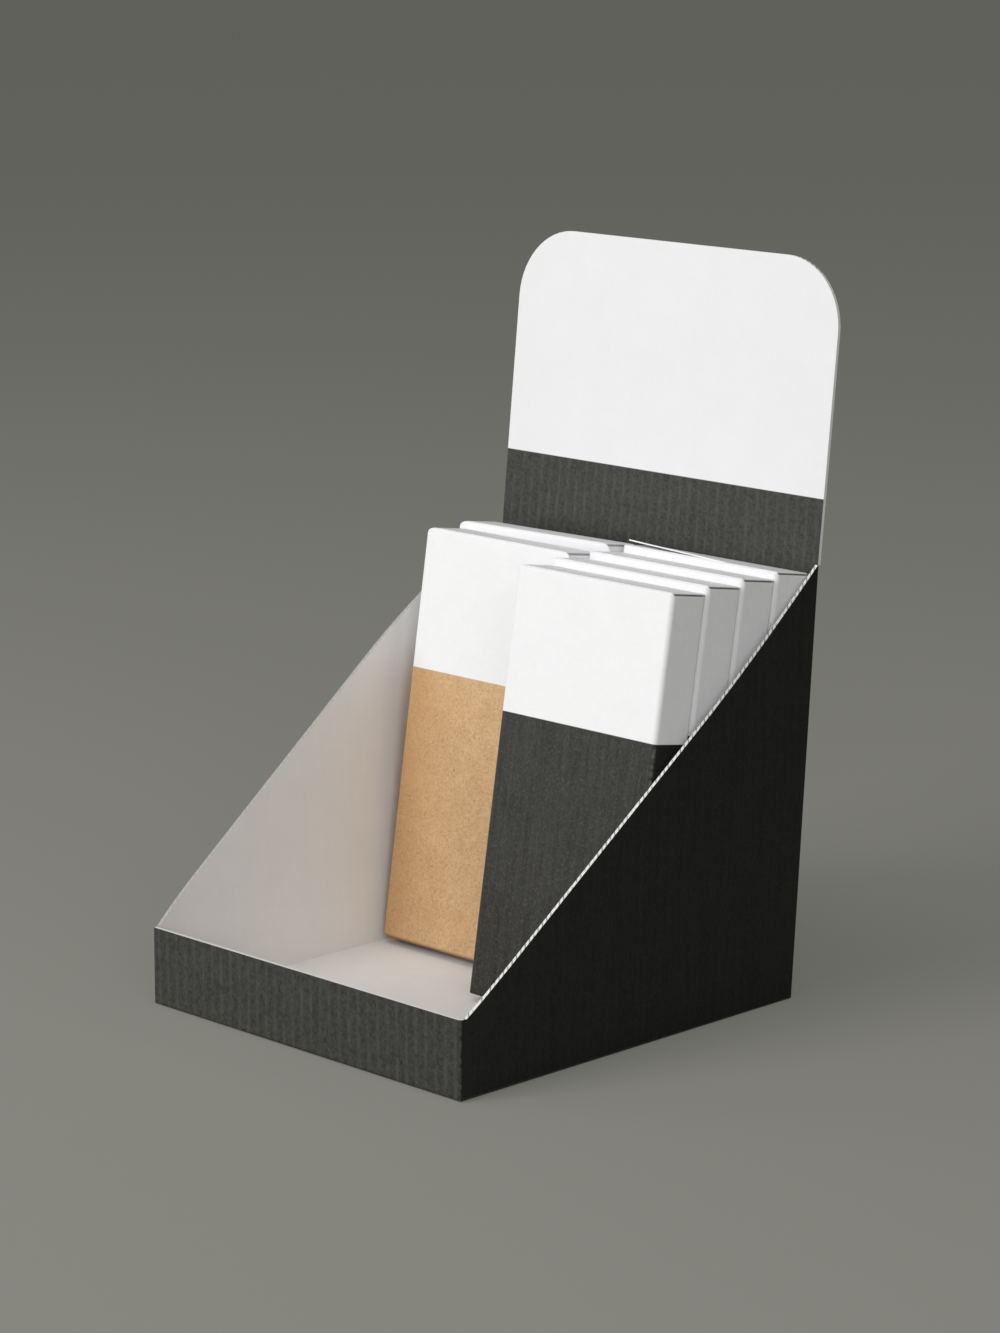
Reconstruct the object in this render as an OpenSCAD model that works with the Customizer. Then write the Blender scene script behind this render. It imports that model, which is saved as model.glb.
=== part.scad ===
// Counter display box folded from one sheet of thin corrugated board, stocked with two rows of
// slim cartons that lean back against its rear panel.
// X runs across the front, Y runs from the front lip to the rear panel, Z is up.
// The origin is the middle of the footprint, on the surface that the box stands on.

/* [Display box] */
// Outside depth of the box at its base
box_d = 214; // [190:1:300]
// Thickness of the corrugated board
board = 1.6; // [1.2:0.1:3]
// Height of the low front lip
lip_h = 36.5; // [20:0.5:80]
// Level run at the front end of each side wall, before its top edge starts to climb
lip_run = 2; // [1:0.5:20]
// Height of the side walls where they meet the rear panel
wall_h = 201; // [150:1:260]
// Backward lean of the rear panel, in degrees
wall_lean = 3.8; // [0.5:0.1:6]
// Outside radius of every fold in the board
fold_r = 2; // [0.5:0.1:5]
// How far the left wall bows outwards, at the height of the crease
left_bow = 14; // [0.5:0.5:20]
// How far the right wall bows outwards, at the height of the crease
right_bow = 6; // [0.5:0.5:20]

/* [Header] */
// Height of the header above the side walls, measured along the board
header_h = 137; // [60:0.5:200]
// Backward lean of the header above its crease, in degrees
header_lean = 5.8; // [0.5:0.1:10]
// Radius of the two top corners of the header
header_r = 33; // [5:1:55]

/* [Joins of the sheet] */
// Width of the glue tab that closes the sheet in the rear left corner
tab_w = 24; // [12:1:40]
// Bare height left above and below the glue tab
tab_margin = 10; // [3:1:30]
// Height of the slanted cut at each end of the glue tab
tab_taper = 10; // [2:1:20]
// Distance of the seam between the two base flaps behind the middle of the base
seam_y = 30; // [10:1:60]
// Width of the seam between the two base flaps
seam_w = 0.8; // [0.4:0.1:2]
// Depth of the seam between the two base flaps
seam_depth = 0.6; // [0.2:0.1:1]

/* [Cartons] */
// Width of one carton
pack_w = 95.2; // [60:0.1:120]
// Thickness of one carton, from front to back
pack_t = 22.4; // [12:0.1:40]
// Height of one carton
pack_h = 198; // [140:1:230]
// Radius of the carton's upright folds
pack_fold_r = 2.2; // [0.5:0.1:4]
// Radius of the corners of the front and back panels, on the soft kraft cartons of the left row
left_corner_r = 5.5; // [0.5:0.1:6]
// Radius of the same corners on the crisper cartons of the right row
right_corner_r = 2; // [0.5:0.1:6]
// Radius of the folds along its top and bottom
pack_edge_r = 1.5; // [0.3:0.1:3]
// Thickness of the carton's card
card = 0.6; // [0.3:0.1:1]
// Width of the slit along each tucked edge
slit_w = 0.5; // [0.3:0.1:1]
// Depth of the slit along each tucked edge
slit_depth = 1.6; // [0.5:0.1:3]
// Length along the front of the lid corner that has lifted on the rear right carton
lift_run = 62; // [20:1:80]
// Angle by which that corner has lifted, in degrees
lift_angle = 8; // [2:1:20]

/* [Rows of cartons] */
// Backward lean of the left row, in degrees
left_lean = 8.8; // [4:0.1:12]
// Backward lean of the right row, in degrees
right_lean = 9.2; // [4:0.1:12]
// Free space between the left row and the board behind it
left_play = 3.4; // [0.1:0.1:10]
// Free space between the right row and the rear panel
right_play = 0.3; // [0.1:0.1:10]
// Free space between one carton and the next in the left row, which stands loosely
left_pack_play = 6; // [0.1:0.1:10]
// Turn of the loose rear carton in the left row, in degrees
left_turn = 3.4; // [0:0.1:4]
// How far that carton has slid towards the left wall
left_slide = 1.5; // [0:0.1:2]
// Free space between one carton and the next in the right row, which stands tight
right_pack_play = 0.3; // [0.1:0.1:2]
// Free space between the two rows
row_play = 0.8; // [0.2:0.1:5]
// Free space between each row and the side wall beside it
side_play = 2.8; // [0.5:0.1:15]
// Free space between a carton's lower edge and the base under it
rest_play = 0.05; // [0.02:0.01:0.5]

/* [Hidden] */
$fn = 96;

// Overshoot of cutting shapes
over = 1;
// Flat strips that make up the bow of a side wall
bow_strips = 32;
board_colour = [0.13, 0.13, 0.125];
kraft_colour = [0.75, 0.61, 0.45];
white_colour = [0.93, 0.93, 0.94];

// The box is as wide as two rows of cartons with the free space round them
inner_w = 2 * pack_w + row_play + 2 * side_play;
box_w = inner_w + 2 * board;
front_y = -box_d / 2;
rear_y = box_d / 2;

// Upward directions of the rear panel and of the header in the side view, as [y, z], and the
// matching directions square to the board that point into the box
wall_up = [sin(wall_lean), cos(wall_lean)];
header_up = [sin(header_lean), cos(header_lean)];
wall_in = [-cos(wall_lean), sin(wall_lean)];
header_in = [-cos(header_lean), sin(header_lean)];

// The crease between rear panel and header, outside and inside, and the header's top edges
crease_out = [rear_y + wall_h * tan(wall_lean), wall_h];
crease_in = crease_out + board * (wall_in + header_in) / (1 + wall_in * header_in);
header_out = crease_out + header_h * header_up;
header_front = header_out + board * header_in;

// Where the inside face of the rear panel would meet the standing surface
inside_rear_y = rear_y - board / cos(wall_lean);

// Height of the glue tab along the rear panel
tab_base = board + tab_margin;
tab_top = wall_h - tab_margin;

// Replaces one corner of a flat outline by an arc that is tangent to both of its edges, which
// leave the corner along the unit directions side_a and side_b.
module soften(corner, side_a, side_b, radius) {
    half_angle = acos(side_a * side_b) / 2;
    bisector = (side_a + side_b) / norm(side_a + side_b);
    reach = radius / tan(half_angle);
    centre = corner + bisector * radius / sin(half_angle);
    waste = [corner, corner + side_a * reach, centre, corner + side_b * reach];
    difference() {
        children();
        polygon([for (point = waste) centre + (point - centre) * (radius + over) / radius]);
    }
    translate(centre) circle(radius);
}

// Stands a side-view outline, drawn as [y, z], across the given width.
module across(width) {
    rotate([90, 0, 90]) linear_extrude(width, center = true) children();
}

// Side view of the folded sheet: base, lip, climbing side walls, rear panel and header.
module side_outline() {
    soften([rear_y, 0], [-1, 0], wall_up, fold_r)
        soften([front_y, 0], [1, 0], [0, 1], fold_r)
            polygon([
                [front_y, 0],
                [rear_y, 0],
                crease_out,
                header_out,
                header_front,
                crease_in,
                [front_y + board + lip_run, lip_h],
                [front_y, lip_h]
            ]);
}

// Side view of the space inside the walls, open at the top.
module cavity_outline() {
    polygon([
        [front_y + board, board],
        [inside_rear_y + board * tan(wall_lean), board],
        crease_in,
        [front_y + board, crease_in[1]]
    ]);
}

// Front view that rounds the two lower side folds.
module front_outline() {
    height = header_out[1] + over;
    soften([-box_w / 2, 0], [1, 0], [0, 1], fold_r)
        soften([box_w / 2, 0], [-1, 0], [0, 1], fold_r)
            translate([-box_w / 2, 0]) square([box_w, height]);
}

// Plan that rounds the two upright folds beside the lip.
module plan_outline() {
    reach = header_out[0] - front_y + over;
    soften([-box_w / 2, front_y], [1, 0], [0, 1], fold_r)
        soften([box_w / 2, front_y], [-1, 0], [0, 1], fold_r)
            translate([-box_w / 2, front_y]) square([box_w, reach]);
}

// The bulge of a bowed side wall, on the outer side of an upright plane through the origin, with
// some depth behind that plane to join it. The sheet is held along its base and its two upright
// folds, so it bends as two cones that start at the ends of the base, with a flat triangle between.
module wall_bulge(bow) {
    depth = board / 2;
    front_end_y = front_y + fold_r;
    base_end_y = rear_y + fold_r * tan(wall_lean) - fold_r;
    top_end_y = crease_out[0] - fold_r;
    rim = [
        for (strip = [0:bow_strips])
            let (share = strip / bow_strips)
            [
                -4 * bow * share * (1 - share),
                front_end_y + share * (top_end_y - front_end_y),
                wall_h
            ]
    ];
    base = [[0, base_end_y, fold_r], [0, front_end_y, fold_r]];
    back = [
        [depth, front_end_y, wall_h],
        [depth, top_end_y, wall_h],
        [depth, base_end_y, fold_r],
        [depth, front_end_y, fold_r]
    ];
    middle = bow_strips / 2;
    end = bow_strips;
    base_rear = end + 1;
    base_front = end + 2;
    back_front_top = end + 3;
    back_rear_top = end + 4;
    back_rear = end + 5;
    back_front = end + 6;
    polyhedron(
        concat(rim, base, back),
        concat(
            [for (strip = [0:middle - 1]) [strip + 1, strip, base_front]],
            [for (strip = [middle:end - 1]) [strip + 1, strip, base_rear]],
            [[middle, base_front, base_rear]],
            [concat([for (strip = [0:end]) strip], [back_rear_top, back_front_top])],
            [[back_rear_top, back_rear, back_front, back_front_top]],
            [[0, back_front_top, back_front, base_front]],
            [[back_rear_top, end, base_rear, back_rear]],
            [[base_front, back_front, back_rear, base_rear]]
        )
    );
}

// Places the bulge of each side wall on the planes that lie at the given distance from the middle.
module wall_bulges(distance) {
    translate([-distance, 0, 0]) wall_bulge(left_bow);
    translate([distance, 0, 0]) mirror([1, 0, 0]) wall_bulge(right_bow);
}

// What an upright fold takes off a square corner that lies at the origin, with the board on the
// positive side of both axes.
module fold_waste(radius) {
    difference() {
        translate([-over, -over]) square(radius + over);
        translate([radius, radius]) circle(radius);
    }
}

// The upright folds between the side walls and the rear panel, which stop at the crease.
module rear_fold_waste() {
    length = wall_h / cos(wall_lean);
    for (side = [0, 1])
        mirror([side, 0, 0])
            translate([-box_w / 2, rear_y, 0])
                rotate([-wall_lean, 0, 0])
                    translate([0, 0, -over])
                        linear_extrude(length + over) mirror([0, 1]) fold_waste(fold_r);
}

// The rounded top corners of the header, cut square through its board.
module header_corner_waste() {
    translate([0, header_out[0], header_out[1]])
        rotate([-header_lean, 0, 0])
            for (side = [0, 1])
                mirror([side, 0, 0])
                    translate([-box_w / 2, over, 0])
                        rotate([90, 0, 0])
                            linear_extrude(board + 2 * over)
                                mirror([0, 1]) fold_waste(header_r);
}

// Seam across the underside, where the longer front base flap meets the rear one.
module base_seam() {
    translate([-inner_w / 2, seam_y, -over]) cube([inner_w, seam_w, seam_depth + over]);
}

// The rear top corner of the left wall, cut level just above the glue tab that is folded from it.
module tab_corner_waste() {
    level = tab_top + board;
    top = crease_in[1] + over;
    reach = board + left_bow + over;
    translate([-(inner_w + reach) / 2, 0, 0])
        across(reach)
            polygon([
                [front_y, level],
                [inside_rear_y + level * tan(wall_lean), level],
                crease_in,
                [crease_in[0], top],
                [front_y, top]
            ]);
}

// Glue tab of the left wall, flat against the inside of the rear panel.
module glue_tab() {
    root_x = -inner_w / 2 - board / 2;
    tip_x = -inner_w / 2 + tab_w;
    translate([0, inside_rear_y, 0])
        rotate([-wall_lean, 0, 0])
            translate([0, board / 2, 0])
                rotate([90, 0, 0])
                    linear_extrude(board * 3 / 2)
                        polygon([
                            [root_x, tab_base],
                            [tip_x, tab_base + tab_taper],
                            [tip_x, tab_top - tab_taper],
                            [root_x, tab_top]
                        ]);
}

// The sheet folded with flat walls and with its lower and front folds rounded.
module flat_walled_tray() {
    intersection() {
        difference() {
            across(box_w) side_outline();
            across(inner_w) cavity_outline();
        }
        translate([0, header_out[0] + over, 0])
            rotate([90, 0, 0])
                linear_extrude(header_out[0] - front_y + 2 * over) front_outline();
        linear_extrude(header_out[1] + over) plan_outline();
    }
}

// The folded sheet: base, lip, side walls, rear panel and header in one piece.
module display_tray() {
    bowed_w = box_w + 2 * max(left_bow, right_bow) + over;
    color(board_colour) {
        difference() {
            union() {
                flat_walled_tray();
                intersection() {
                    wall_bulges(box_w / 2);
                    across(bowed_w) side_outline();
                }
            }
            intersection() {
                wall_bulges(inner_w / 2);
                across(bowed_w) cavity_outline();
            }
            tab_corner_waste();
            rear_fold_waste();
            header_corner_waste();
            base_seam();
        }
        glue_tab();
    }
}

// A flat rectangle with round corners, centred on the origin.
module round_rectangle(width, height, radius) {
    square([width - 2 * radius, height], center = true);
    square([width, height - 2 * radius], center = true);
    for (x = [-1, 1], y = [-1, 1])
        translate([x * (width / 2 - radius), y * (height / 2 - radius)]) circle(radius);
}

// How far a round corner has drawn in the side of a panel, at the given distance from its end.
function corner_inset(radius, distance) =
    distance < radius ? radius - sqrt(radius ^ 2 - (radius - distance) ^ 2) : 0;

// Slits round one tucked end of a carton that is centred on the origin: one behind the front
// panel, and one under the lid on either side.
module tuck_slits(corner_r) {
    front_slit_y = -pack_t / 2 + card;
    side_slit_z = pack_h / 2 - card - slit_w;
    side_slit_depth = slit_depth + corner_inset(corner_r, card + slit_w);
    translate([-pack_w / 2 + corner_r, front_slit_y, pack_h / 2 - slit_depth])
        cube([pack_w - 2 * corner_r, slit_w, slit_depth + over]);
    for (side = [0, 1])
        mirror([side, 0, 0])
            translate([pack_w / 2 - side_slit_depth, front_slit_y + slit_w, side_slit_z])
                cube([side_slit_depth + over, pack_t - card - slit_w - pack_fold_r, slit_w]);
}

// One closed carton with tucked ends, standing on its lower rear edge at the origin.
module carton(corner_r) {
    translate([0, -pack_t / 2, pack_h / 2])
        difference() {
            intersection() {
                linear_extrude(pack_h, center = true)
                    round_rectangle(pack_w, pack_t, pack_fold_r);
                rotate([90, 0, 0])
                    linear_extrude(pack_t, center = true)
                        round_rectangle(pack_w, pack_h, corner_r);
                rotate([90, 0, 90])
                    linear_extrude(pack_w, center = true)
                        round_rectangle(pack_t, pack_h, pack_edge_r);
            }
            tuck_slits(corner_r);
            mirror([0, 0, 1]) tuck_slits(corner_r);
        }
}

// The lid corner that has lifted off the rear right carton: a flap of card, bent up along a crease
// that runs from the lid's front edge to its rear left corner.
module lifted_corner() {
    front = -pack_t + pack_edge_r;
    side = -pack_w / 2 + pack_fold_r;
    reach = pack_t - 2 * pack_edge_r;
    crease_turn = atan2(reach, lift_run);
    translate([side + lift_run, front, pack_h - card])
        rotate([0, 0, -crease_turn])
            rotate([-lift_angle, 0, 0])
                rotate([0, 0, crease_turn])
                    linear_extrude(card)
                        polygon([[0, 0], [-lift_run, 0], [-lift_run, reach]]);
}

// Height at which a leaning carton's square lower edge lies, so that its round edge rests.
function seat_z(lean) = board + rest_play - pack_edge_r * (sin(lean) + cos(lean) - 1);

// Place of that edge for the rear carton of a row, whose round top edge stops short of the rear
// panel by the given distance.
function seat_y(lean, stand_off) =
    let (
        arm_y = (pack_h - pack_edge_r) * sin(lean) - pack_edge_r * cos(lean),
        arm_z = (pack_h - pack_edge_r) * cos(lean) + pack_edge_r * sin(lean),
        touch_z = seat_z(lean) + arm_z,
        touch_y = inside_rear_y + touch_z * tan(wall_lean)
            - (pack_edge_r + stand_off) / cos(wall_lean)
    )
    touch_y - arm_y;

// Stands a carton in the row on the given side, counted from the rear of the row.
module in_row(side, place, lean, stand_off, play) {
    pitch = (pack_t + play) / cos(lean);
    translate([
        side * (pack_w + row_play) / 2,
        seat_y(lean, stand_off) - place * pitch,
        seat_z(lean)
    ])
        children();
}

// Turns a carton about its rear right edge and slides it to the left.
module turned() {
    translate([pack_w / 2 - left_slide, 0, 0])
        rotate([0, 0, left_turn])
            translate([-pack_w / 2, 0, 0]) children();
}

module left_carton() {
    rotate([-left_lean, 0, 0]) carton(left_corner_r);
}

module left_pack(place) {
    color(kraft_colour)
        in_row(-1, place, left_lean, board + left_play, left_pack_play)
            if (place == 0) turned() left_carton();
            else left_carton();
}

module right_pack(place) {
    color(white_colour)
        in_row(1, place, right_lean, right_play, right_pack_play)
            rotate([-right_lean, 0, 0]) {
                carton(right_corner_r);
                if (place == 0) lifted_corner();
            }
}

display_tray();
left_pack(1);  // left_front_pack
left_pack(0);  // left_rear_pack
right_pack(3);  // right_front_pack
right_pack(2);  // right_second_pack
right_pack(1);  // right_third_pack
right_pack(0);  // right_rear_pack
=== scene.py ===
# %% [markdown]
# # A stocked counter display box
# This lesson dresses the solids of a small counter display: a tray folded from one sheet of thin
# corrugated board, and six slim cartons that lean back in it. The solids already have their true
# size and place, so every step here is about surface: print, paper, board and light.

import math

import bpy
from mathutils import Euler, Matrix, Vector

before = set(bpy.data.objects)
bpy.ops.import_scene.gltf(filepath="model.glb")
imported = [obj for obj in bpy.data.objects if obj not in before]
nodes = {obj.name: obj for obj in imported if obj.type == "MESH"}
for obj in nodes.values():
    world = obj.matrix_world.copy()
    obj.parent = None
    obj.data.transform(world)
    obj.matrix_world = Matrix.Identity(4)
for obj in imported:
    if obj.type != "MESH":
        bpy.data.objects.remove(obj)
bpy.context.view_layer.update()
scene = bpy.context.scene
print("solids:", ", ".join(sorted(nodes)))

# %% [markdown]
# ## Sizes that the finishes follow
# A finish has to know where the sheet is folded, where its inside begins and where a print stops.
# These are the sizes that the solids were made to. They are written here once, in millimetres and
# degrees, and the finishes of the tray take them from here.

# %% Name the sizes of the tray
MM = 0.001
BOARD = 1.6 * MM
BASE_WIDTH = 200 * MM
BASE_DEPTH = 214 * MM
CREASE_HEIGHT = 201 * MM
REAR_LEAN = math.radians(3.8)
HEADER_LEAN = math.radians(5.8)
HEADER_BAND = 30 * MM

HALF_WIDTH = BASE_WIDTH / 2
INSIDE = HALF_WIDTH - BOARD
FRONT = -BASE_DEPTH / 2
REAR = BASE_DEPTH / 2

# %% [markdown]
# ## Helpers for shader nodes
# Nodes can be placed by hand in the editor, one click at a time. In a script the same clicks are a
# short helper: make a node, set its options, then give each input a number or plug in a socket.

# %% Make a node in one line
def add(tree, kind, options=None, **inputs):
    """Adds a node, sets its options, and fills or links the inputs that are named.

    An input goes by its label, with _ for a space, or by i and its number, such as i0.
    """
    node = tree.nodes.new(kind)
    for option, value in (options or {}).items():
        setattr(node, option, value)
    for name, value in inputs.items():
        key = int(name[1:]) if name[1:].isdigit() else name.replace("_", " ")
        socket = node.inputs[key]
        if isinstance(value, bpy.types.NodeSocket):
            tree.links.new(value, socket)
        else:
            socket.default_value = value
    return node


print("helper ready: add")

# %% [markdown]
# A handful of nodes comes back again and again, so each gets a short name of its own. A range is
# written as a pair, its start and its end, and a target whose end is lower turns a mask round.
# Colours are in linear light, as on Blender's own sockets.

# %% Short names for common nodes
def maths(tree, operation, *values):
    """A Math node's result."""
    sockets = {f"i{index}": value for index, value in enumerate(values)}
    return add(tree, "ShaderNodeMath", {"operation": operation}, **sockets).outputs[0]


def weaken(tree, mask, share):
    """A mask at a share of its strength."""
    return maths(tree, "MULTIPLY", mask, share)


def remap(tree, value, source, target=(0.0, 1.0), smooth=False):
    """The value moved from its own range to another, and kept inside it."""
    kind = "SMOOTHSTEP" if smooth else "LINEAR"
    return add(tree, "ShaderNodeMapRange", {"interpolation_type": kind}, Value=value,
               From_Min=source[0], From_Max=source[1],
               To_Min=target[0], To_Max=target[1]).outputs["Result"]


def blend(tree, mask, first, second):
    """A colour that goes from the first to the second as the mask goes from 0 to 1."""
    return add(tree, "ShaderNodeMix", {"data_type": "RGBA"}, i0=mask, i6=first, i7=second).outputs[2]


def noise(tree, where, scale, detail, **more):
    """The value of a noise texture, which keeps near its middle of 0.5."""
    return add(tree, "ShaderNodeTexNoise", Vector=where, Scale=scale, Detail=detail,
               **more).outputs["Fac"]


def split(tree, vector):
    """The X, Y and Z of a vector."""
    return add(tree, "ShaderNodeSeparateXYZ", Vector=vector).outputs


def rgb(red, green, blue):
    """A solid colour."""
    return (red, green, blue, 1.0)


print("helpers ready: maths, weaken, remap, blend, noise, split, rgb")

# %% [markdown]
# ## Effects that several finishes share
# A node group is a small machine with named inputs and outputs. Each effect below is used by more
# than one paper on this object, so it is built once and placed in each finish with its own values.

# %% Start a group
def start_group(name, inputs, outputs):
    """An empty node group with these sockets: a list of (name, kind, default) and of (name, kind)."""
    tree = bpy.data.node_groups.new(name, "ShaderNodeTree")
    for label, kind, default in inputs:
        socket = tree.interface.new_socket(label, in_out="INPUT", socket_type=f"NodeSocket{kind}")
        if default is not None:
            socket.default_value = default
    for label, kind in outputs:
        tree.interface.new_socket(label, in_out="OUTPUT", socket_type=f"NodeSocket{kind}")
    return tree, tree.nodes.new("NodeGroupInput").outputs, tree.nodes.new("NodeGroupOutput").inputs


def place(tree, group, **inputs):
    """The outputs of a group that is placed in a material's tree."""
    return add(tree, "ShaderNodeGroup", {"node_tree": group}, **inputs).outputs


print("groups can be started and placed")

# %% [markdown]
# ### Fluting
# Thin corrugated board shows its flutes through the liner as faint upright stripes, the washboard
# effect. Modelling each flute would cost thousands of faces for a tenth of a millimetre, so a sine
# wave with a weaker wave of half its length is used. A slow noise bends the stripes, and a finer
# one fades them here and there, as glue and pressing do.

# %% Fluting group
FLUTE_PITCH = 6.0 * MM
FLUTE_WANDER = (-0.8, 0.8)
WANDER_NOISE = (0.3, 0.7)
RIPPLE_SHARE = 0.45
RIDGE_SPAN = (-1.4, 1.4)
CREST_SPAN = (-0.1, 1.1)
FADE_NOISE = (0.38, 0.62)
FADE_SPAN = (0.1, 1.0)


def make_fluting():
    """Ridge is the height of the flutes, and Crest a mask of their tops that comes and goes."""
    tree, given, result = start_group(
        "Fluting",
        [("Place", "Vector", None), ("Across", "Float", 0.0), ("Pitch", "Float", FLUTE_PITCH)],
        [("Ridge", "Float"), ("Crest", "Float")],
    )
    drift = noise(tree, given["Place"], scale=16.0, detail=2.0)
    bend = remap(tree, drift, WANDER_NOISE, FLUTE_WANDER)
    turns = maths(tree, "DIVIDE", given["Across"], given["Pitch"])
    angle = maths(tree, "MULTIPLY_ADD", turns, 2 * math.pi, bend)
    wave = maths(tree, "SINE", angle)
    ripple = maths(tree, "SINE", maths(tree, "MULTIPLY", angle, 2.0))
    ridge = maths(tree, "MULTIPLY_ADD", ripple, RIPPLE_SHARE, wave)
    tree.links.new(remap(tree, ridge, RIDGE_SPAN), result["Ridge"])
    fade = noise(tree, given["Place"], scale=220.0, detail=4.0, Roughness=0.7)
    strength = remap(tree, fade, FADE_NOISE, FADE_SPAN)
    crest = remap(tree, ridge, CREST_SPAN, smooth=True)
    tree.links.new(maths(tree, "MULTIPLY", crest, strength), result["Crest"])
    return tree


fluting = make_fluting()
print("group:", fluting.name)

# %% [markdown]
# ### Paper fibre
# Paper is felted fibre, so even a plain sheet has a fine grain, a cloudy unevenness where fibres
# bunch, upright streaks along the run of the sheet, single strands that lie curled on the surface,
# and a few dark specks. Noise gives the grain, the cloud and, drawn out upwards, the streaks. A
# strand is the thin line along which a distorted noise passes its middle value, and a speck is the
# heart of some of the cells of a Voronoi pattern.

# %% Paper fibre group
USUAL_NOISE = (0.32, 0.68)
DRAWN_OUT = (1.0, 1.0, 0.045)
STRAND_WIDTH = 0.07
STRAND_GAPS = (0.38, 0.56)
SPECK_EDGE = (0.025, 0.055)
SPECK_FREE = 0.45


def make_fibre():
    """Five masks of what shows in paper, each from 0 to 1."""
    tree, given, result = start_group(
        "Paper fibre",
        [("Place", "Vector", None)],
        [("Grain", "Float"), ("Cloud", "Float"), ("Streaks", "Float"), ("Strands", "Float"),
         ("Specks", "Float")],
    )
    where = given["Place"]
    upward = add(tree, "ShaderNodeVectorMath", {"operation": "MULTIPLY"}, i0=where, i1=DRAWN_OUT)
    textures = {
        "Grain": noise(tree, where, scale=620.0, detail=3.0, Roughness=0.7),
        "Cloud": noise(tree, where, scale=60.0, detail=5.0, Roughness=0.65),
        "Streaks": noise(tree, upward.outputs[0], scale=320.0, detail=3.0, Roughness=0.6),
    }
    for name, texture in textures.items():
        tree.links.new(remap(tree, texture, USUAL_NOISE), result[name])

    curl = noise(tree, where, scale=300.0, detail=1.0, Distortion=1.4)
    off_middle = maths(tree, "ABSOLUTE", maths(tree, "SUBTRACT", curl, 0.5))
    line = remap(tree, off_middle, (0.0, STRAND_WIDTH), (1.0, 0.0), smooth=True)
    gaps = remap(tree, noise(tree, where, scale=480.0, detail=0.0), STRAND_GAPS)
    tree.links.new(maths(tree, "MULTIPLY", line, gaps), result["Strands"])

    cells = add(tree, "ShaderNodeTexVoronoi", Vector=where, Scale=62.0, Randomness=1.0).outputs
    heart = remap(tree, cells["Distance"], SPECK_EDGE, (1.0, 0.0), smooth=True)
    chance = add(tree, "ShaderNodeSeparateColor", Color=cells["Color"]).outputs[0]
    taken = maths(tree, "GREATER_THAN", chance, SPECK_FREE)
    tree.links.new(maths(tree, "MULTIPLY", heart, taken), result["Specks"])
    return tree


fibre = make_fibre()
print("group:", fibre.name)

# %% [markdown]
# ### Fold wear
# Where printed board is bent, the ink cracks and the pale paper under it shows as a thin broken
# line. The group is given the distance from the fold, so that each finish can say where its own
# folds are. A noise breaks the line up.

# %% Fold wear group
WEAR_FADE = (0.0, 0.8)
WEAR_BREAKS = (0.42, 0.62)


def make_wear():
    """Worn is a mask of the rubbed places, which ends at the Width from the fold."""
    tree, given, result = start_group(
        "Fold wear",
        [("Place", "Vector", None), ("Distance", "Float", 0.0), ("Width", "Float", 1 * MM)],
        [("Worn", "Float")],
    )
    near = maths(tree, "SUBTRACT", 1.0, maths(tree, "DIVIDE", given["Distance"], given["Width"]))
    broken = noise(tree, given["Place"], scale=420.0, detail=4.0, Roughness=0.65)
    rubbed = maths(tree, "MULTIPLY", remap(tree, near, WEAR_FADE), remap(tree, broken, WEAR_BREAKS))
    tree.links.new(rubbed, result["Worn"])
    return tree


wear = make_wear()
print("group:", wear.name)

# %% [markdown]
# ## A finish starts the same way each time
# Each material here is one Principled BSDF for uncoated paper: no metal, a high roughness and a
# low specular level. The specular level is the same all over, so it is set on the shader itself.
# The roughness follows the fibre a little, and a Bump node lets flutes and fibre catch the light
# without moving the surface.

# %% Start a paper finish
SIDEWAYS = 0.7


def start_paper(name, specular):
    """A material with its shader, and the places and normals that its pattern is built on."""
    material = bpy.data.materials.new(name)
    material.use_nodes = True
    tree = material.node_tree
    tree.nodes.clear()
    shader = add(tree, "ShaderNodeBsdfPrincipled", Specular_IOR_Level=specular)
    add(tree, "ShaderNodeOutputMaterial", Surface=shader.outputs[0])
    spot = add(tree, "ShaderNodeTexCoord").outputs
    return material, tree, shader, spot


def roughen(tree, shader, mask, span):
    """Lets the roughness follow a mask, from the smoothest to the roughest of its span."""
    tree.links.new(remap(tree, mask, (0.0, 1.0), span), shader.inputs["Roughness"])


def emboss(tree, shader, height, distance):
    """Lets a height lift the light on the surface, without moving it."""
    bump = add(tree, "ShaderNodeBump", Height=height, Distance=distance, Strength=1.0)
    tree.links.new(bump.outputs["Normal"], shader.inputs["Normal"])


def across_flutes(tree, spot):
    """Distance across the upright flutes: along X on the front and rear, along Y on the sides."""
    axes = split(tree, spot["Object"])
    facing = split(tree, spot["Normal"])
    sideways = maths(tree, "GREATER_THAN", maths(tree, "ABSOLUTE", facing["X"]), SIDEWAYS)
    step = maths(tree, "SUBTRACT", axes["Y"], axes["X"])
    return maths(tree, "MULTIPLY_ADD", step, sideways, axes["X"]), axes


print("paper finishes can be started")

# %% [markdown]
# ## Dark print on the outside of the tray
# The outside is flooded with a matt charcoal ink. The side walls take a darker copy of it, and
# that darkness is painted shade. On the lip the ink is a little lighter along the crests of the
# flutes. The darker copy hides the flutes better, and shows fine upright streaks. A plain dark
# colour would look like plastic, and it is the stripes and the fibre that say corrugated board. One
# recipe takes the tones of an ink, the shares of flutes and streaks in it and the rise of its
# flutes, and serves both.

# %% Two inks over fluted board
FLUTE_RISE = 0.12 * MM
CHARCOAL = {
    "deep": rgb(0.014, 0.014, 0.012),
    "plain": rgb(0.053, 0.053, 0.046),
    "crest": rgb(0.074, 0.074, 0.065),
    "flutes": 0.6,
    "streaks": 0.05,
    "rise": FLUTE_RISE,
    "specular": 0.3,
}
# A darker copy of the charcoal, whose darkness is painted shade on the side walls and narrow sides.
SHADED_CHARCOAL = {
    "deep": rgb(0.0062, 0.0062, 0.0062),
    "plain": rgb(0.0170, 0.0170, 0.0167),
    "crest": rgb(0.0270, 0.0270, 0.0265),
    "flutes": 0.12,
    "streaks": 0.3,
    "rise": 0.05 * MM,
    "specular": 0.2,
}
INK_STRANDS = 0.25
GRAIN_RISE = 0.5


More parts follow.
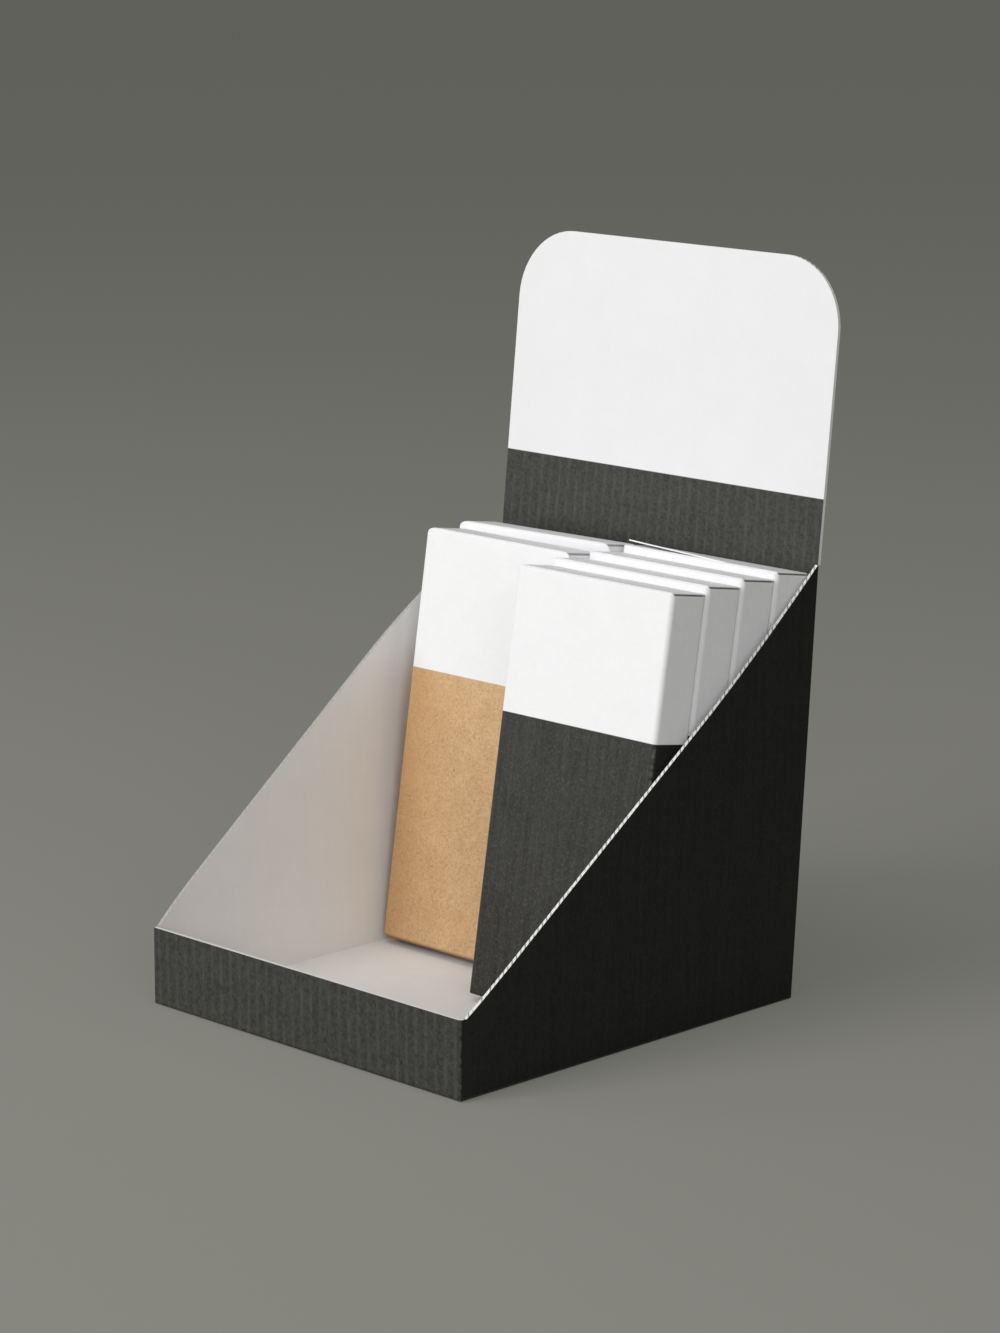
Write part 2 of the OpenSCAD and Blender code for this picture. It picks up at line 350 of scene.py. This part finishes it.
def inked_board(tree, spot, across, ink):
    """Ink over fluted board: its colour, the height of flute and fibre together, and the fibre."""
    flutes = place(tree, fluting, Place=spot["Object"], Across=across, Pitch=FLUTE_PITCH)
    felt = place(tree, fibre, Place=spot["Object"])
    colour = blend(tree, felt["Grain"], ink["deep"], ink["plain"])
    streaks = weaken(tree, felt["Streaks"], ink["streaks"])
    lines = maths(tree, "MULTIPLY_ADD", flutes["Crest"], ink["flutes"], streaks)
    colour = blend(tree, lines, colour, ink["crest"])
    colour = blend(tree, weaken(tree, felt["Strands"], INK_STRANDS), colour, ink["crest"])
    height = maths(tree, "MULTIPLY_ADD", felt["Grain"], GRAIN_RISE, flutes["Ridge"])
    return colour, height, felt


print("inks: charcoal and black, on flutes", FLUTE_PITCH / MM, "mm apart")

# %% [markdown]
# The two upright folds beside the lip are rubbed, so their ink has worn pale there. Each place is as
# far from a fold as the larger of two distances: from the plane of the side and from that of the lip.

# %% Printed board with worn folds
WORN = rgb(0.34, 0.33, 0.31)
TRAY_WEAR = 0.35
TRAY_WEAR_WIDTH = 1.1 * MM
PRINT_ROUGHNESS = (0.47, 0.63)


def make_printed_board(name, ink):
    material, tree, shader, spot = start_paper(name, ink["specular"])
    across, axes = across_flutes(tree, spot)
    colour, height, felt = inked_board(tree, spot, across, ink)
    roughen(tree, shader, felt["Cloud"], PRINT_ROUGHNESS)
    off_centre = maths(tree, "ABSOLUTE", axes["X"])
    from_side = maths(tree, "ABSOLUTE", maths(tree, "SUBTRACT", HALF_WIDTH, off_centre))
    from_front = maths(tree, "ABSOLUTE", maths(tree, "SUBTRACT", axes["Y"], FRONT))
    from_fold = maths(tree, "MAXIMUM", from_side, from_front)
    worn = place(tree, wear, Place=spot["Object"], Distance=from_fold, Width=TRAY_WEAR_WIDTH)["Worn"]
    colour = blend(tree, weaken(tree, worn, TRAY_WEAR), colour, WORN)
    tree.links.new(colour, shader.inputs["Base Color"])
    emboss(tree, shader, height, ink["rise"])
    return material


charcoal_board = make_printed_board("Charcoal board", CHARCOAL)
# The side walls take the darker copy of the charcoal: painted shade.
shaded_charcoal_board = make_printed_board("Shaded charcoal board", SHADED_CHARCOAL)
print("finishes:", charcoal_board.name, "and", shaded_charcoal_board.name)

# %% [markdown]
# ## White liner on the inside of the tray
# The inside is the bare white liner of the board. It is not pure white: it has a faint cloud of
# fibre, and the flutes show as the softest of ripples.

# %% White liner
LINER = rgb(0.88, 0.868, 0.855)
LINER_DIM = rgb(0.835, 0.822, 0.81)
LINER_CLOUD = 0.5
LINER_GRAIN = 0.3
LINER_RISE = 0.03 * MM
LINER_ROUGHNESS = (0.74, 0.86)


def make_white_liner():
    material, tree, shader, spot = start_paper("White liner", specular=0.2)
    across, _ = across_flutes(tree, spot)
    flutes = place(tree, fluting, Place=spot["Object"], Across=across, Pitch=FLUTE_PITCH)
    felt = place(tree, fibre, Place=spot["Object"])
    roughen(tree, shader, felt["Grain"], LINER_ROUGHNESS)
    colour = blend(tree, weaken(tree, felt["Cloud"], LINER_CLOUD), LINER, LINER_DIM)
    tree.links.new(colour, shader.inputs["Base Color"])
    height = maths(tree, "MULTIPLY_ADD", felt["Grain"], LINER_GRAIN, flutes["Ridge"])
    emboss(tree, shader, height, LINER_RISE)
    return material


white_liner = make_white_liner()
print("finish:", white_liner.name)

# %% [markdown]
# ## Print on the face of the rear panel and header
# The face of the header carries a large white field above a charcoal band, and the charcoal goes
# on down the rear panel behind the cartons. The two could be separate faces of the mesh. A mask on
# the height is simpler, and keeps the crisp edge of a print.

# %% Header print
PRINT_WHITE = rgb(0.88, 0.88, 0.89)
PRINT_WHITE_DIM = rgb(0.855, 0.855, 0.865)
PRINT_CLOUD = 0.5
PRINT_BLUR = 0.15 * MM
HEADER_RISE = 0.06 * MM
BAND_TOP = CREASE_HEIGHT + HEADER_BAND * math.cos(HEADER_LEAN)


def above(tree, height, line):
    """A mask that is 0 below a printed line and 1 above it."""
    return remap(tree, height, (line - PRINT_BLUR, line + PRINT_BLUR))


def make_header_print():
    material, tree, shader, spot = start_paper("Header print", CHARCOAL["specular"])
    across, axes = across_flutes(tree, spot)
    ink, height, felt = inked_board(tree, spot, across, CHARCOAL)
    roughen(tree, shader, felt["Cloud"], PRINT_ROUGHNESS)
    white = blend(tree, weaken(tree, felt["Cloud"], PRINT_CLOUD), PRINT_WHITE, PRINT_WHITE_DIM)
    colour = blend(tree, above(tree, axes["Z"], BAND_TOP), ink, white)
    tree.links.new(colour, shader.inputs["Base Color"])
    emboss(tree, shader, height, HEADER_RISE)
    return material


header_print = make_header_print()
print("finish:", header_print.name, "with its band up to", round(BAND_TOP / MM, 1), "mm")

# %% [markdown]
# ## Cut edges of the board
# A knife goes through two white liners and the fluted core, so a cut edge is a pale line with a
# row of small hollows. Their shade is painted, and the fluting group serves again at a closer pitch
# to place it. An edge that faces sideways is cut along the upright flutes, so it has none. On the
# right wall and the header the edge is clean and white, and on the left wall a duller copy of it is
# painted shade.

# %% Cut edge
EDGE_WHITE = rgb(0.88, 0.87, 0.85)
# Painted shade in the hollows of the fluted core.
EDGE_WHITE_HOLLOW_SHADE = rgb(0.10, 0.10, 0.09)
# A duller copy of the cut edge: painted shade for the left wall.
EDGE_SHADED_GREY = rgb(0.48, 0.47, 0.455)
EDGE_SHADED_GREY_HOLLOW = rgb(0.36, 0.35, 0.335)
EDGE_PITCH = 2.6 * MM
EDGE_GRAIN = 0.05 * MM
EDGE_ROUGHNESS = (0.8, 0.9)
HOLLOW_SHADE_EDGE = (0.2, 0.5)
HOLLOW_SHADE_SPAN = (0.0, 0.75)
TURNED_SIDEWAYS = (0.4, 0.8)


def make_cut_edge(name, pale, shaded):
    material, tree, shader, spot = start_paper(name, specular=0.15)
    axes = split(tree, spot["Object"])
    facing = split(tree, spot["Normal"])
    along = maths(tree, "ADD", axes["X"], axes["Y"])
    flutes = place(tree, fluting, Place=spot["Object"], Across=along, Pitch=EDGE_PITCH)
    # Painted shade in the hollows of the fluted core.
    hollow_shade = remap(tree, flutes["Crest"], HOLLOW_SHADE_EDGE, HOLLOW_SHADE_SPAN, smooth=True)
    turned = maths(tree, "ABSOLUTE", facing["X"])
    across_core = remap(tree, turned, TURNED_SIDEWAYS, (1.0, 0.0))
    hollow_shade = maths(tree, "MULTIPLY", hollow_shade, across_core)
    tree.links.new(blend(tree, hollow_shade, pale, shaded), shader.inputs["Base Color"])
    felt = place(tree, fibre, Place=spot["Object"])
    roughen(tree, shader, felt["Grain"], EDGE_ROUGHNESS)
    emboss(tree, shader, felt["Grain"], EDGE_GRAIN)
    return material


white_edge = make_cut_edge("White cut edge", EDGE_WHITE, EDGE_WHITE_HOLLOW_SHADE)
# The duller copy is painted shade.
shaded_grey_edge = make_cut_edge("Shaded grey cut edge", EDGE_SHADED_GREY, EDGE_SHADED_GREY_HOLLOW)
print("finishes:", white_edge.name, "and", shaded_grey_edge.name)

# %% [markdown]
# ## Which face of the sheet gets which finish
# A folded sheet shows three things: its printed outside, its white inside and its cut edges. Here
# the rear panel and the header are printed on the inside too, apart from the glue tab that lies on
# the panel, and the narrow top of the lip takes the finish of the liner. Each face of the solid is
# sorted by where it lies and by how squarely it looks one way, given as a cosine. A person would do
# the same in edit mode with the material slots, and no vertex is touched.

# %% Choose a finish for a face of the tray
TRAY_FINISHES = [charcoal_board, shaded_charcoal_board, white_liner, header_print, white_edge, shaded_grey_edge]
OUTSIDE, SIDE, LINING, FACE, CUT, SHADED_CUT = range(len(TRAY_FINISHES))
HEADER_LOOKS = Vector((0, -math.cos(HEADER_LEAN), math.sin(HEADER_LEAN)))
SQUARE_ON = 0.9
LOOKS = 0.7
LOOKS_UP = 0.4
HAIR = 0.1 * MM
TAB_SPLIT = 1.5 * BOARD


def tray_finish(centre, facing):
    """Which of the tray's finishes a face gets, from its middle and the way that it faces."""
    if centre.z > CREASE_HEIGHT + BOARD:
        square_on = facing.dot(HEADER_LOOKS)
        if abs(square_on) < SQUARE_ON:
            return CUT
        return FACE if square_on > 0 else OUTSIDE
    if abs(centre.x) > INSIDE - HAIR and facing.z > LOOKS_UP:
        # The left wall's cut edge takes the duller copy, which is painted shade.
        return CUT if centre.x > 0 else SHADED_CUT
    if centre.z < BOARD - HAIR:
        return OUTSIDE
    if abs(facing.x) > LOOKS:
        # The outer side walls get the darker copy of the charcoal, which is painted shade.
        return LINING if facing.x * centre.x < 0 else SIDE
    if facing.y < -LOOKS and centre.y > 0:
        tab_to_panel = REAR - TAB_SPLIT + centre.z * math.tan(REAR_LEAN)
        return FACE if centre.y > tab_to_panel else LINING
    if facing.y > LOOKS and centre.y < 0:
        return LINING
    return LINING if facing.z > LOOKS else OUTSIDE


print("tray finishes:", ", ".join(finish.name for finish in TRAY_FINISHES))

# %% [markdown]
# The sorting itself is a short loop: hand the finishes to the mesh, then give each face the number
# of its own. It serves the cartons too.

# %% Dress the tray
def dress(node, finishes, choose):
    """Gives a solid its finishes, and sorts its faces among them."""
    mesh = node.data
    mesh.materials.clear()
    for finish in finishes:
        mesh.materials.append(finish)
    counts = [0] * len(finishes)
    for polygon in mesh.polygons:
        polygon.material_index = choose(polygon.center, polygon.normal)
        counts[polygon.material_index] += 1
    return dict(zip((finish.name for finish in finishes), counts))


print("tray faces:", dress(nodes["display_tray"], TRAY_FINISHES, tray_finish))

# %% [markdown]
# ## Cartons in two prints
# All six cartons are white above. Below a crisp line the left row is bare kraft and the right row
# charcoal. Each carton leans, so the line has to lean with it. A Mapping node turns the place on
# the object into the carton's own place, with zero at the middle of its lower rear edge, and one
# recipe then serves all six.

# %% Where each carton stands
CARTON_WIDTH = 95.2 * MM
CARTON_DEPTH = 22.4 * MM
CARTON_HEIGHT = 198 * MM
ROW_LEAN = {"left": math.radians(8.8), "right": math.radians(9.2)}
CARTON_TURN = {"left_rear_pack": math.radians(3.4)}


def carton_turns(name):
    """A carton's lean about X and its turn about Z."""
    row = name.split("_")[0]
    return Euler((-ROW_LEAN[row], 0.0, CARTON_TURN.get(name, 0.0)))


def carton_seat(name, turns):
    """The middle of the carton's lower rear edge, read from its own vertices in its own axes."""
    upright = turns.to_matrix().transposed()
    spots = [upright @ vertex.co for vertex in nodes[name].data.vertices]
    across = [spot.x for spot in spots]
    seat = Vector(((min(across) + max(across)) / 2, max(spot.y for spot in spots),
                   min(spot.z for spot in spots)))
    return upright.transposed() @ seat


def own_place(tree, spot, seat, turns):
    """The place on a carton in its own axes: X across, Y towards the rear, Z up along it."""
    return add(tree, "ShaderNodeMapping", {"vector_type": "TEXTURE"}, Vector=spot["Object"],
               Location=seat, Rotation=turns).outputs[0]


seats = {}
for name in sorted(nodes):
    if name.endswith("_pack"):
        seats[name] = carton_seat(name, carton_turns(name))
        print(name, "stands at", [round(part / MM, 1) for part in seats[name]])

# %% [markdown]
# ### Kraft
# Kraft is unbleached pulp: warm and mottled, with strands of fibre and dark specks of bark in it. On
# these cartons painted shade deepens it towards the left fold, and a thin painted shadow makes it
# almost black-brown along the foot. Each of these is one more blend over the last.

# %% Kraft colour
KRAFT = rgb(0.780, 0.520, 0.285)
KRAFT_DARK = rgb(0.560, 0.335, 0.150)
# Painted shade towards the left fold.
KRAFT_FOLD_SHADE = rgb(0.560, 0.290, 0.110)
KRAFT_STRAND = rgb(0.420, 0.235, 0.105)
# Dark specks of bark, and the painted shadow along the foot.
KRAFT_SPECK_AND_FOOT_SHADOW = rgb(0.20, 0.085, 0.035)
KRAFT_CLOUD = 0.36
KRAFT_GRAIN = 0.55
KRAFT_STRANDS = 0.55
KRAFT_SPECKS = 0.8
LEFT_FOLD = -CARTON_WIDTH / 2
# How far the painted fold shade reaches, and its strength.
LEFT_SHADE_REACH = (LEFT_FOLD, LEFT_FOLD + 34 * MM)
LEFT_SHADE_SPAN = (0.5, 0.0)
# How far the painted foot shadow reaches, and its strength.
FOOT_SHADOW_REACH = (0.4 * MM, 2.2 * MM)
FOOT_SHADOW_SPAN = (0.85, 0.0)


def kraft_colour(tree, felt, axes):
    """Bare kraft from a carton's fibre and axes, with painted shade at the left fold and foot."""
    cloud = weaken(tree, felt["Cloud"], KRAFT_CLOUD)
    shade = maths(tree, "MULTIPLY_ADD", felt["Grain"], KRAFT_GRAIN, cloud)
    colour = blend(tree, shade, KRAFT, KRAFT_DARK)
    # Painted shade, deeper towards the left fold.
    painted_fold_shade = remap(tree, axes["X"], LEFT_SHADE_REACH, LEFT_SHADE_SPAN, smooth=True)
    colour = blend(tree, painted_fold_shade, colour, KRAFT_FOLD_SHADE)
    # Painted shadow along the foot.
    painted_foot_shadow = remap(tree, axes["Z"], FOOT_SHADOW_REACH, FOOT_SHADOW_SPAN, smooth=True)
    colour = blend(tree, painted_foot_shadow, colour, KRAFT_SPECK_AND_FOOT_SHADOW)
    colour = blend(tree, weaken(tree, felt["Strands"], KRAFT_STRANDS), colour, KRAFT_STRAND)
    return blend(tree, weaken(tree, felt["Specks"], KRAFT_SPECKS), colour, KRAFT_SPECK_AND_FOOT_SHADOW)


print("recipe: kraft, deeper along the left", round((LEFT_SHADE_REACH[1] - LEFT_FOLD) / MM), "mm")

# %% [markdown]
# ### Inked card
# The charcoal of the right row is ink on smooth card, so it has no flutes. Upright streaks come
# from the press, with pale strands where the ink didn't take. The narrow sides take the darker copy
# of the charcoal that the tray's walls have, so their darkness is painted shade.

# %% Inked card colour
CARTON_INK = {
    "deep": rgb(0.006, 0.006, 0.005),
    "plain": rgb(0.042, 0.042, 0.0355),
    "strand": rgb(0.085, 0.085, 0.075),
}
CARTON_STREAKS = 0.55
CARTON_GRAIN = 0.45
CARTON_STRANDS = 0.5
NARROW_SIDE = (0.5, 0.9)


def inked_colour(tree, felt, spot):
    """Charcoal ink on the broad faces of a carton, and painted shade on its narrow sides."""
    streaks = weaken(tree, felt["Streaks"], CARTON_STREAKS)
    shade = maths(tree, "MULTIPLY_ADD", felt["Grain"], CARTON_GRAIN, streaks)
    broad = blend(tree, shade, CARTON_INK["deep"], CARTON_INK["plain"])
    strands = weaken(tree, felt["Strands"], CARTON_STRANDS)
    broad = blend(tree, strands, broad, CARTON_INK["strand"])
    # Painted shade: the narrow sides take the darker copy of the charcoal.
    narrow_shade = blend(tree, felt["Grain"], SHADED_CHARCOAL["deep"], SHADED_CHARCOAL["plain"])
    facing = split(tree, spot["Normal"])
    sideways = remap(tree, maths(tree, "ABSOLUTE", facing["X"]), NARROW_SIDE)
    return blend(tree, sideways, broad, narrow_shade)


print("recipe: inked card")

# %% [markdown]
# ### Slit under the lid
# A tuck lid leaves a thin slit along the top of the narrow sides. The slit is cut in the solid, but
# at half a millimetre little light finds its way out of it. A grey line of painted shadow, drawn
# where it runs, keeps the lid readable from a step away.

# %% Slit under the lid
CARD = 0.6 * MM
TUCK_SLIT = 0.5 * MM
SLIT_SHADE = 0.45 * MM
SLIT_REACH = 3.5 * MM


def lid_slit(tree, axes, from_side, from_front):
    """Where the painted shadow of the lid's slit runs on the narrow sides, behind the front panel."""
    middle = CARTON_HEIGHT - CARD - TUCK_SLIT / 2
    from_slit = maths(tree, "ABSOLUTE", maths(tree, "SUBTRACT", axes["Z"], middle))
    level = maths(tree, "LESS_THAN", from_slit, SLIT_SHADE)
    outer = maths(tree, "LESS_THAN", from_side, SLIT_REACH)
    behind = maths(tree, "GREATER_THAN", from_front, CARD + TUCK_SLIT)
    return maths(tree, "MULTIPLY", level, maths(tree, "MULTIPLY", outer, behind))


print("slit", TUCK_SLIT / MM, "mm under a lid of", CARD / MM, "mm card")

# %% [markdown]
# ### The carton recipe
# Card is thinner than the tray's board and its paper finer, so the fibre group is placed at a
# smaller scale. The white field meets the lower print at one crisp line, the upright folds are
# rubbed pale, and a soft wave in the bump keeps the card from looking dead flat.

# %% Carton finish
CARTON_PRINT = 131 * MM
CARTON_WHITE = rgb(0.945, 0.945, 0.955)
CARTON_WHITE_DIM = rgb(0.925, 0.925, 0.935)
KRAFT_WORN = rgb(0.82, 0.60, 0.38)
CARTON_WEAR = 0.5
CARTON_WEAR_WIDTH = 1.6 * MM
CARTON_FINENESS = 1.4
CARTON_WAVE = 0.15 * MM
WAVE_GRAIN = 0.12
# Painted shadow of the slit under the lid.
SLIT_SHADOW_GREY = rgb(0.18, 0.18, 0.18)
SLIT_SHADOW_SHARE = 0.65


def make_carton(name):
    material, tree, shader, spot = start_paper(f"Carton {name}", specular=0.3)
    own = own_place(tree, spot, seats[name], carton_turns(name))
    axes = split(tree, own)
    finer = add(tree, "ShaderNodeVectorMath", {"operation": "SCALE"}, i0=own, Scale=CARTON_FINENESS)
    felt = place(tree, fibre, Place=finer.outputs[0])
    roughen(tree, shader, felt["Cloud"], PRINT_ROUGHNESS)
    if name.startswith("left"):
        lower, pale = kraft_colour(tree, felt, axes), KRAFT_WORN
    else:
        lower, pale = inked_colour(tree, felt, spot), WORN
    from_side = maths(tree, "SUBTRACT", CARTON_WIDTH / 2, maths(tree, "ABSOLUTE", axes["X"]))
    from_front = maths(tree, "ADD", axes["Y"], CARTON_DEPTH)
    from_fold = maths(tree, "MAXIMUM", from_side, from_front)
    worn = place(tree, wear, Place=own, Distance=from_fold, Width=CARTON_WEAR_WIDTH)["Worn"]
    lower = blend(tree, weaken(tree, worn, CARTON_WEAR), lower, pale)
    white = blend(tree, felt["Cloud"], CARTON_WHITE, CARTON_WHITE_DIM)
    colour = blend(tree, above(tree, axes["Z"], CARTON_PRINT), lower, white)
    # Painted shadow in the slit under the lid.
    slit = lid_slit(tree, axes, from_side, from_front)
    colour = blend(tree, weaken(tree, slit, SLIT_SHADOW_SHARE), colour, SLIT_SHADOW_GREY)
    tree.links.new(colour, shader.inputs["Base Color"])
    height = maths(tree, "MULTIPLY_ADD", felt["Grain"], WAVE_GRAIN, felt["Cloud"])
    emboss(tree, shader, height, CARTON_WAVE)
    return material


for name in seats:
    print("carton faces:", dress(nodes[name], [make_carton(name)], lambda centre, facing: 0))

# %% [markdown]
# ## Floor
# A plain floor keeps the object's soft shadow. Lamps fade with distance, so a floor that is only
# lit would run from pale to almost black. A share of plain glow, seen by the camera alone, evens it
# out and adds no light to the object.

# %% Floor
FLOOR_GREY = rgb(0.495, 0.493, 0.444)
FLOOR_GLOW = rgb(0.167, 0.167, 0.147)
GLOW_SHARE = 0.6
FLOOR_REACH = 30.0
FLOOR_ROUGHNESS = 0.9

bpy.ops.mesh.primitive_plane_add(size=2 * FLOOR_REACH, location=(0, 0, 0))
floor = bpy.context.object
floor.name = "floor"
floor_paper, ground, lit, _ = start_paper("Floor", specular=0.1)
lit.inputs["Base Color"].default_value = FLOOR_GREY
lit.inputs["Roughness"].default_value = FLOOR_ROUGHNESS
looked_at = add(ground, "ShaderNodeLightPath").outputs["Is Camera Ray"]
glow = add(ground, "ShaderNodeEmission", Color=FLOOR_GLOW)
evened = add(ground, "ShaderNodeMixShader", i0=weaken(ground, looked_at, GLOW_SHARE),
             i1=lit.outputs[0], i2=glow.outputs[0])
ground.links.new(evened.outputs[0], ground.nodes["Material Output"].inputs["Surface"])
floor.data.materials.append(floor_paper)
print("floor reaches", FLOOR_REACH, "m")

# %% [markdown]
# ## Surroundings
# The surroundings give a weak even light from all sides, so that no shadow is quite black. To the
# camera they are a dark grey, close to that of the far floor.

# %% Surroundings
FAR_GREY = rgb(0.12, 0.12, 0.107)
FILL = 0.08

world = bpy.data.worlds.new("Studio")
scene.world = world
world.use_nodes = True
sky = world.node_tree
sky.nodes.clear()
seen = add(sky, "ShaderNodeLightPath").outputs["Is Camera Ray"]
fill = add(sky, "ShaderNodeBackground", Color=rgb(1.0, 1.0, 1.0), Strength=FILL)
shown = add(sky, "ShaderNodeBackground", Color=FAR_GREY)
choice = add(sky, "ShaderNodeMixShader", i0=seen, i1=fill.outputs[0], i2=shown.outputs[0])
add(sky, "ShaderNodeOutputWorld", Surface=choice.outputs[0])
print("fill light", FILL)

# %% [markdown]
# ## Lamps
# Four large soft lamps light the object as in a small studio. The key stands in front, a little to
# the left, and reaches into the open tray. A softbox on the left gives the dark print on the front
# its faint sheen. One at the front right lights the narrow sides of the cartons and the inside of
# the left wall, and one overhead lights the tops and the inside of the base.

# %% Lamps
AIM = Vector((0.0, 0.0, 0.15))
LAMPS = {
    "key lamp": {"at": (-0.55, -2.1, 1.2), "size": 1.4, "watts": 29.0},
    "left softbox": {"at": (-1.9, -1.5, 0.5), "size": 1.4, "watts": 16.0},
    "right softbox": {"at": (2.0, -1.4, 1.0), "size": 1.6, "watts": 19.0},
    "overhead softbox": {"at": (0.0, -0.4, 2.2), "size": 1.4, "watts": 9.5},
}


def hang_lamp(name, at, size, watts):
    """A square area lamp that looks at the middle of the object."""
    lamp_data = bpy.data.lights.new(name, "AREA")
    lamp_data.shape = "SQUARE"
    lamp_data.size = size
    lamp_data.energy = watts
    lamp = bpy.data.objects.new(name, lamp_data)
    scene.collection.objects.link(lamp)
    lamp.location = at
    lamp.rotation_euler = (AIM - Vector(at)).to_track_quat("-Z", "Y").to_euler()
    print(name, "at", at, "with", watts, "W")


for name, settings in LAMPS.items():
    hang_lamp(name, **settings)

# %% [markdown]
# ## Camera
# The camera looks from the right front, a little from above, through a long lens that keeps the
# upright edges nearly parallel. Its axes are built from three turns, so that each can be read.

# %% Turn the camera's axes
CAMERA_YAW = 0.78343
CAMERA_PITCH = 0.21595
CAMERA_ROLL = 0.00289

ahead = Vector((-math.sin(CAMERA_YAW) * math.cos(CAMERA_PITCH),
                math.cos(CAMERA_YAW) * math.cos(CAMERA_PITCH),
                -math.sin(CAMERA_PITCH)))
level_right = Vector((math.cos(CAMERA_YAW), math.sin(CAMERA_YAW), 0.0))
level_up = level_right.cross(ahead)
right = math.cos(CAMERA_ROLL) * level_right + math.sin(CAMERA_ROLL) * level_up
up = math.cos(CAMERA_ROLL) * level_up - math.sin(CAMERA_ROLL) * level_right
print("camera looks along", [round(part, 3) for part in ahead])

# %% [markdown]
# A camera looks along its own -Z with +Y up, so the three axes become the columns of its matrix. The
# Standard view transform shows colours as they are written.

# %% Camera
CAMERA_PLACE = Vector((1.254466, -1.243105, 0.544409))
CAMERA_LENS = 108.6
SENSOR_WIDTH = 36.0

camera_data = bpy.data.cameras.new("camera")
camera_data.lens = CAMERA_LENS
camera_data.sensor_width = SENSOR_WIDTH
camera_data.sensor_fit = "AUTO"
camera = bpy.data.objects.new("camera", camera_data)
scene.collection.objects.link(camera)
turned = Matrix((right, up, -ahead)).transposed().to_4x4()
camera.matrix_world = Matrix.Translation(CAMERA_PLACE) @ turned
scene.camera = camera
scene.view_settings.view_transform = "Standard"
print("camera", CAMERA_LENS, "mm at", [round(part, 3) for part in CAMERA_PLACE])
